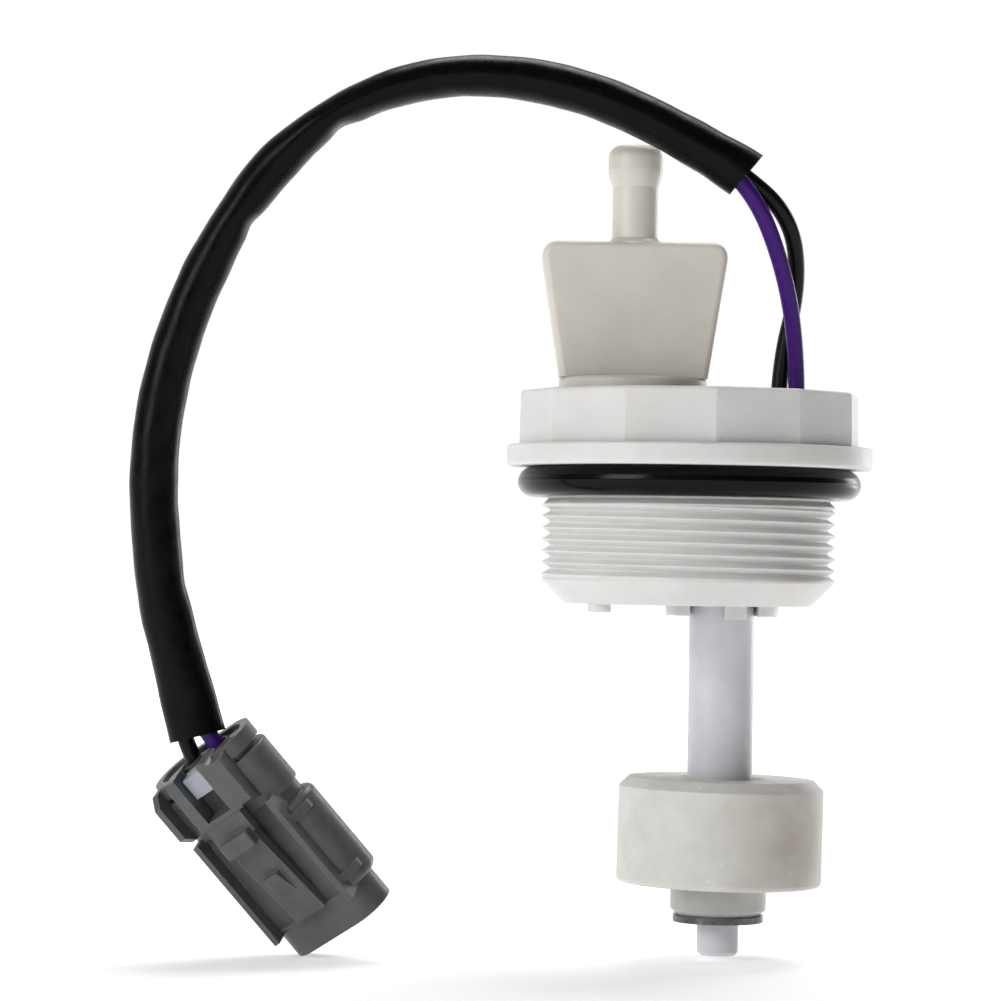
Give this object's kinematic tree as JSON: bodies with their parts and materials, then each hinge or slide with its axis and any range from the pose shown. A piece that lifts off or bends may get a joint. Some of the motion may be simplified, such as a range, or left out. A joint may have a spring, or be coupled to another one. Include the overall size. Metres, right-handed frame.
{
  "type": "water-in-fuel sensor",
  "caption": "Water-in-fuel sensor with a threaded head, drain screw, ring float on a reed stem, and a sleeved two-wire lead with a sealed connector.",
  "frame": {"origin": "on the axis of the spigot's thread, in the underside of the flange", "axes": "+Z along the thread's axis from the stem up to the drain nipple; +X from the drain screw's axis to the stem's; the latch side of the connector faces -Y"},
  "size_m": [0.0957, 0.0474, 0.1166],
  "materials": {
    "head_body": "moulded white nylon, fine grain",
    "flange_o_ring": "smooth black rubber",
    "drain_plug": "moulded off-white plastic",
    "plug_upper_seal": "smooth black rubber",
    "plug_seat_seal": "smooth black rubber",
    "sensor_stem": "smooth bluish white plastic",
    "stop_bush": "translucent grey plastic",
    "push_on_washer": "dark spring steel",
    "float": "mottled translucent plastic",
    "float_magnet": "bare dark ferrite",
    "reed_glass": "clear glass",
    "reed_blade_upper": "plated flat blade and tinned lead",
    "reed_blade_lower": "plated flat blade and tinned lead",
    "return_lead": "tinned lead",
    "lead_sleeve": "thin insulating sleeve",
    "potting_resin": "cured black resin",
    "black_wire": "black wire insulation",
    "violet_wire": "violet wire insulation",
    "wire_sleeve": "soft black sleeve",
    "connector_housing": "moulded grey plastic",
    "rear_retainer": "pale grey plastic",
    "wire_seal_black": "brownish grey silicone",
    "wire_seal_violet": "brownish grey silicone",
    "terminal_black": "tin-plated brass",
    "terminal_violet": "tin-plated brass",
    "connector_seal": "red-brown silicone"
  },
  "bodies": {
    "head": {"head_body": "head_body", "flange_o_ring": "flange_o_ring", "sensor_stem": "sensor_stem", "stop_bush": "stop_bush", "push_on_washer": "push_on_washer", "reed_glass": "reed_glass", "reed_blade_upper": "reed_blade_upper", "reed_blade_lower": "reed_blade_lower", "return_lead": "return_lead", "lead_sleeve": "lead_sleeve", "potting_resin": "potting_resin", "black_wire": "black_wire", "violet_wire": "violet_wire", "wire_sleeve": "wire_sleeve", "connector_housing": "connector_housing", "rear_retainer": "rear_retainer", "wire_seal_black": "wire_seal_black", "wire_seal_violet": "wire_seal_violet", "terminal_black": "terminal_black", "terminal_violet": "terminal_violet", "connector_seal": "connector_seal"},
    "valve_seals": {"plug_upper_seal": "plug_upper_seal", "plug_seat_seal": "plug_seat_seal"},
    "drain_screw": {"drain_plug": "drain_plug"},
    "float_body": {"float": "float", "float_magnet": "float_magnet"}
  },
  "joints": [
    {"name": "float_slide", "type": "slide", "parent": "head", "child": "float_body", "axis": [0, 0, 1], "range_m": [0, 0.0203]},
    {"name": "drain_lift", "type": "slide", "parent": "head", "child": "valve_seals", "axis": [0, 0, 1], "range_m": [0, 0.004]},
    {"name": "drain_turn", "type": "hinge", "parent": "valve_seals", "child": "drain_screw", "pos_m": [-0.0075, 0, 0], "axis": [0, 0, 1], "range_deg": [0, 720]}
  ],
  "couplings": [
    {"joint": "drain_turn", "follows": "drain_lift", "rad_per_m": 3141.6}
  ]
}
